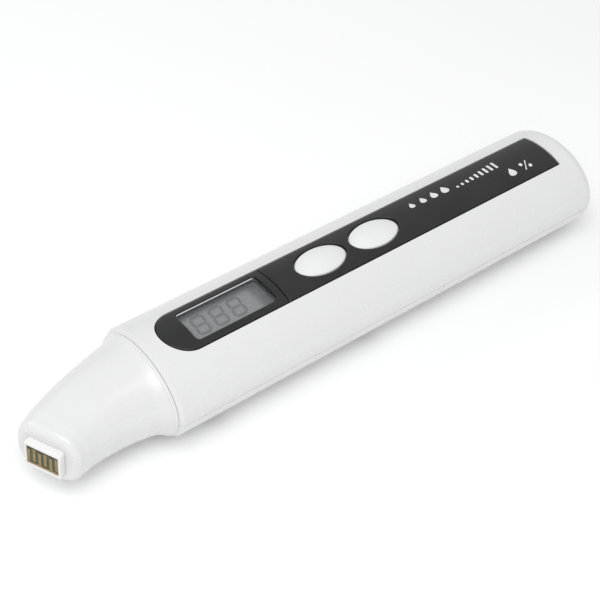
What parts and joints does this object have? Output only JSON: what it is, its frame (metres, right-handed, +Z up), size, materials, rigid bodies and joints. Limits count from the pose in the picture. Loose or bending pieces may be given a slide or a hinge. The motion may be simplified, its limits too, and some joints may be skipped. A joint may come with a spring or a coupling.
{
  "type": "moisture meter",
  "caption": "Pen-shaped surface moisture meter: oval white casing, black panel with display and oval buttons, and a bent tapering nose with gold contact bars.",
  "frame": {"origin": "under the middle of the meter's length and width, on the surface that it lies on", "axes": "+X towards the tail, +Y towards the side away from the nose's bend, +Z up through the display"},
  "size_m": [0.1308, 0.024, 0.0187],
  "materials": {
    "casing": "glossy white moulded plastic",
    "door": "glossy white moulded plastic",
    "nose": "glossy white moulded plastic",
    "boss": "satin white plastic",
    "sensor_green": "green solder mask",
    "gold": "gold-plated contact bars",
    "ribbon": "amber film",
    "socket": "ivory plastic",
    "panel": "glossy black",
    "window": "clear plastic",
    "lcd": "grey display glass",
    "film": "satin silver film",
    "holder": "natural white plastic",
    "zebra": "striped contact rubber",
    "board": "green circuit board",
    "resin": "black resin",
    "chip": "ceramic chips with tinned ends",
    "button": "satin white plastic",
    "switch": "black plastic",
    "plunger": "brown plastic",
    "screw": "zinc-plated steel",
    "cell": "blue wrapped cell",
    "trough": "black plastic",
    "contact": "nickel-plated spring steel",
    "red_wire": "red insulated wire",
    "black_wire": "black insulated wire"
  },
  "bodies": {
    "casing": {"upper_shell": "casing", "lower_shell": "casing", "nose_cone": "nose", "sensor_holder": "boss", "sensor_board": "sensor_green", "sensor_electrodes": "gold", "sensor_ribbon": "ribbon", "sensor_socket": "socket", "display_bezel": "panel", "display_window": "window", "button_panel": "panel", "lcd_glass": "lcd", "lcd_reflector": "film", "lcd_holder": "holder", "zebra_strips": "zebra", "main_board": "board", "controller_chip": "resin", "board_components": "chip", "power_switch_housing": "switch", "hold_switch_housing": "switch", "case_screws": "screw", "board_screws": "screw", "battery": "cell", "battery_holder": "trough", "positive_contact": "contact", "negative_contact": "contact", "battery_spring": "contact", "positive_lead": "red_wire", "negative_lead": "black_wire"},
    "power_button": {"power_button": "button", "power_switch_plunger": "plunger"},
    "hold_button": {"hold_button": "button", "hold_switch_plunger": "plunger"},
    "battery_door": {"battery_door": "door"}
  },
  "joints": [
    {"name": "power_press", "type": "slide", "parent": "casing", "child": "power_button", "axis": [0, 0, -1], "range_m": [0, 0.0004], "stiffness_N_per_m": 2500},
    {"name": "hold_press", "type": "slide", "parent": "casing", "child": "hold_button", "axis": [0, 0, -1], "range_m": [0, 0.0004], "stiffness_N_per_m": 2500},
    {"name": "door_slide", "type": "slide", "parent": "casing", "child": "battery_door", "axis": [1, 0, 0], "range_m": [0, 0.05]}
  ]
}
